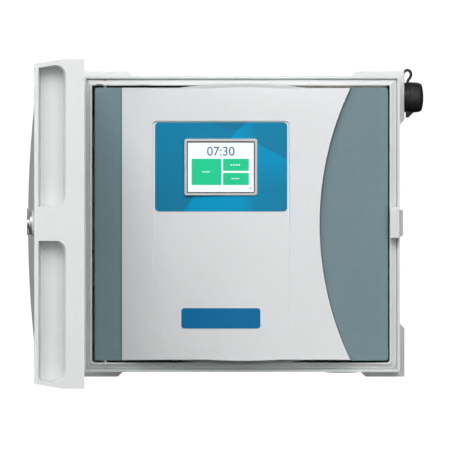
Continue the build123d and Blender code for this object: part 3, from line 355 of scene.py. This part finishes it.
tile_green = lit("tile_green", linear(2, 209, 146))
ink_white = lit("ink_white", linear(236, 252, 246))
ink_blue = lit("ink_blue", linear(34, 84, 132))
signal_green = lit("ink_grey", linear(90, 190, 170))
screen_low, screen_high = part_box("display_panel")
screen_y = screen_low[1]
screen_x = (screen_low[0] + screen_high[0]) / 2
screen_z = (screen_low[2] + screen_high[2]) / 2
# how far in front of the screen each layer of its picture stands, in metres
BORDER_LIFT, TILE_LIFT, CLOCK_LIFT, INK_LIFT = 0.0001, 0.00015, 0.0002, 0.0003
PLATE_THICK = 0.00008
ROUND, SHARP = 0.0003, 0.0002  # the plates' corner radii
CLOCK_HEIGHT, CLOCK_UP = 0.0125, 0.0115


def plate(name, x0, z0, x1, z1, material, lift=TILE_LIFT, radius=ROUND):
    """A thin rounded plate on the screen, its corners in millimetres from the screen's middle."""
    bm = bmesh.new()
    x0, z0, x1, z1 = (value / 1000 for value in (x0, z0, x1, z1))
    corners = [
        bm.verts.new((screen_x + x, screen_y - lift, screen_z + z))
        for x, z in ((x0, z0), (x1, z0), (x1, z1), (x0, z1))
    ]
    bm.faces.new(corners)
    bmesh.ops.bevel(bm, geom=corners, offset=radius, segments=4, affect="VERTICES")
    face = bm.faces[:][0]
    out = bmesh.ops.extrude_face_region(bm, geom=[face])
    moved = [item for item in out["geom"] if isinstance(item, bmesh.types.BMVert)]
    bmesh.ops.translate(bm, vec=(0, -PLATE_THICK, 0), verts=moved)
    piece = new_object(name, bm, material, smooth=False)
    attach(piece, "facepack")


border = plastic("screen_border", linear(34, 40, 46), rough=0.3)
# half the screen's size, and its dark border's width, in millimetres
half_x = (screen_high[0] - screen_low[0]) * 500
half_z = (screen_high[2] - screen_low[2]) * 500
BORDER, BORDER_TOP = 1.0, 1.3
for side, x0, z0, x1, z1 in (
    ("top", -half_x, half_z - BORDER_TOP, half_x, half_z),
    ("low", -half_x, -half_z, half_x, BORDER - half_z),
    ("left", -half_x, BORDER - half_z, BORDER - half_x, half_z - BORDER_TOP),
    ("right", half_x - BORDER, BORDER - half_z, half_x, half_z - BORDER_TOP),
):
    plate(f"border_{side}", x0, z0, x1, z1, border, BORDER_LIFT, SHARP)
# one large tile at the left and two small ones, one over the other, at the right
TILES_LEFT, TILES_RIGHT, TILES_FOOT, TILES_TOP = -28.9, 27.6, -17.6, 8.3
SMALL_LEFT = 2.2
plate("tile_large", TILES_LEFT, TILES_FOOT, 0.6, TILES_TOP, tile_green)
plate("tile_upper", SMALL_LEFT, -3.6, TILES_RIGHT, TILES_TOP, tile_green)
plate("tile_lower", SMALL_LEFT, TILES_FOOT, TILES_RIGHT, -5.6, tile_green)
# four short blank bars, with gaps between them, stand for each tile's word
BARS, BAR_FILL, HALF_BAR = 4, 0.72, 0.7
for name, x, z, length in (
    ("large", -14.2, -4.6, 8.0),
    ("upper", 14.6, 2.2, 10.2),
    ("lower", 14.6, -11.2, 8.0),
):
    pitch = length / BARS
    for part in range(BARS):
        start = x - length / 2 + part * pitch
        stop = start + BAR_FILL * pitch
        plate(f"word_{name}_{part}", start, z - HALF_BAR, stop, z + HALF_BAR, ink_white, INK_LIFT)
# signal bars at the screen's foot, in millimetres
SIGNAL_X, SIGNAL_Z, SIGNAL_PITCH, SIGNAL_WIDTH = 27.4, -21.6, 1.1, 0.7
for index, height in enumerate((0.9, 1.5, 2.1)):
    start, top = SIGNAL_X + SIGNAL_PITCH * index, height + SIGNAL_Z
    plate(
        f"signal_{index}", start, SIGNAL_Z, start + SIGNAL_WIDTH, top, signal_green, INK_LIFT, SHARP
    )

clock = bpy.data.curves.new("clock", "FONT")
clock.body = "07:30"
clock.size = CLOCK_HEIGHT
clock.extrude = PLATE_THICK / 2
clock.align_x = "CENTER"
clock.materials.append(ink_blue)
clock_piece = bpy.data.objects.new("clock", clock)
bpy.context.scene.collection.objects.link(clock_piece)
clock_piece.location = (screen_x, screen_y - CLOCK_LIFT, screen_z + CLOCK_UP)
clock_piece.rotation_euler = (UPRIGHT, 0, 0)
bpy.context.view_layer.update()
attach(clock_piece, "facepack")


# ---------------------------------------------------------------- pieces that bend
def bending_copy(node, name, material):
    """A copy of a CAD node, cut fine enough to bend, that stands in for it."""
    source = nodes[node]
    bm = bmesh.new()
    bm.from_mesh(source.data)
    bmesh.ops.transform(bm, matrix=source.matrix_world, verts=bm.verts)
    bmesh.ops.subdivide_edges(bm, edges=bm.edges, cuts=2, use_grid_fill=True)
    piece = new_object(name, bm, material, smooth=False)
    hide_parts(node)
    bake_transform(piece)


bending_copy(
    "cap_strap", "strap", black_rubber,
)
ribbon_grey = plastic("ribbon_grey", linear(150, 152, 156), rough=0.4)
bending_copy(
    "ribbon_cable", "ribbon", ribbon_grey,
)

# ---------------------------------------------------------------- stage, light and camera
scene = bpy.context.scene


def stage_plane(name, corners, material):
    """A flat sheet that belongs to the scene, not to the object."""
    bm = bmesh.new()
    bm.faces.new([bm.verts.new(corner) for corner in corners])
    piece = new_object(name, bm, material, smooth=False)
    piece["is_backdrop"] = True
    return piece


# The floor glows a little, so that it stays pale in every view, and lights nothing
floor_shader = Shader("floor_pale")
floor_tone = floor_shader.mix(
    floor_shader.span(floor_shader.noise(3, 4), 0, 1), (0.80, 0.80, 0.80, 1), (0.84, 0.84, 0.84, 1)
)
floor_shader.link(floor_tone, floor_shader.bsdf.inputs["Emission Color"])
floor_shader.bsdf.inputs["Base Color"].default_value = (0.22, 0.22, 0.22, 1)
floor_shader.bsdf.inputs["Emission Strength"].default_value = 0.85
floor_shader.bsdf.inputs["Roughness"].default_value = 0.8
FLOOR_REACH, FLOOR_Z = 9, -0.8
floor_corners = [
    (x * FLOOR_REACH, y * FLOOR_REACH, FLOOR_Z) for x, y in ((-1, -1), (1, -1), (1, 1), (-1, 1))
]
floor = stage_plane("floor", floor_corners, floor_shader.material)
floor.visible_diffuse = False
floor.visible_glossy = False

# A white dome stands behind it all and lights nothing
white = bpy.data.materials.new("backdrop_white")
white.use_nodes = True
white_nodes = white.node_tree
white_nodes.nodes.remove(white_nodes.nodes["Principled BSDF"])
glow = white_nodes.nodes.new("ShaderNodeEmission")
glow.inputs["Color"].default_value = (1, 1, 1, 1)
glow.inputs["Strength"].default_value = 1.05
white_nodes.links.new(glow.outputs[0], white_nodes.nodes["Material Output"].inputs["Surface"])
DOME_RADIUS = 14
dome_mesh = bmesh.new()
bmesh.ops.create_icosphere(dome_mesh, subdivisions=4, radius=DOME_RADIUS)
dome = new_object("backdrop", dome_mesh, white)
dome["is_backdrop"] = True
dome.visible_diffuse = False
dome.visible_glossy = False
dome.visible_transmission = False
dome.visible_shadow = False

# The room's own light, which grows from the floor up
world = bpy.data.worlds.new("studio")
world.use_nodes = True
scene.world = world
tree = world.node_tree
background = tree.nodes["Background"]
place = tree.nodes.new("ShaderNodeTexCoord")
split = tree.nodes.new("ShaderNodeSeparateXYZ")
tree.links.new(place.outputs["Generated"], split.inputs["Vector"])
ramp = tree.nodes.new("ShaderNodeMapRange")
ramp.inputs["From Min"].default_value = -0.6
ramp.inputs["From Max"].default_value = 0.9
ramp.inputs["To Min"].default_value = 0.10
ramp.inputs["To Max"].default_value = 0.36
tree.links.new(split.outputs["Z"], ramp.inputs["Value"])
tree.links.new(ramp.outputs["Result"], background.inputs["Strength"])


TARGET = Vector((0, -0.08, 0))  # the middle of the object


def soft_box(name, place, size, power):
    """A large lamp that faces the object and isn't seen itself."""
    light = bpy.data.lights.new(name, "AREA")
    light.shape = "RECTANGLE"
    light.size, light.size_y = size
    light.energy = power
    piece = bpy.data.objects.new(name, light)
    piece.location = place
    piece.rotation_euler = (TARGET - Vector(place)).to_track_quat("-Z", "Y").to_euler()
    scene.collection.objects.link(piece)
    piece.visible_camera = False


for name, place, size, power in (
    ("head", (-0.1, -1.6, 1.3), (1.7, 1.0), 25),
    ("front", (0.1, -4.2, 2.1), (2.6, 1.6), 52),
    ("left_front", (-1.9, -3.2, 0.25), (1.5, 1.4), 14),
    ("right_front", (2.0, -3.4, -0.1), (1.2, 1.2), 15),
    ("low", (0.5, -3.0, -0.65), (1.8, 0.6), 9),
    ("left", (-2.6, -1.8, 0.1), (1.2, 1.2), 37),
    ("rear", (0.4, 2.8, 1.2), (2.4, 1.6), 40),
):
    soft_box(name, place, size, power)

CAMERA_PLACE = (-0.0167, -4.374, -0.001)
LENS_MM, SENSOR_MM = 347.1, 36
camera_data = bpy.data.cameras.new("camera")
camera = bpy.data.objects.new("camera", camera_data)
scene.collection.objects.link(camera)
camera_data.sensor_width = SENSOR_MM
camera_data.lens = LENS_MM
camera_data.clip_end = 60  # past the backdrop, from any side
camera.location = CAMERA_PLACE
camera.rotation_euler = (UPRIGHT, 0, 0)
scene.camera = camera
scene.view_settings.view_transform = "Standard"


def plain(value):
    """Vectors and nested lists as lists of rounded numbers."""
    if isinstance(value, (list, tuple, Vector)):
        return [plain(item) for item in value]
    return round(float(value), 5)


{"cad": plain(cad_box), "visual": plain(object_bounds())}
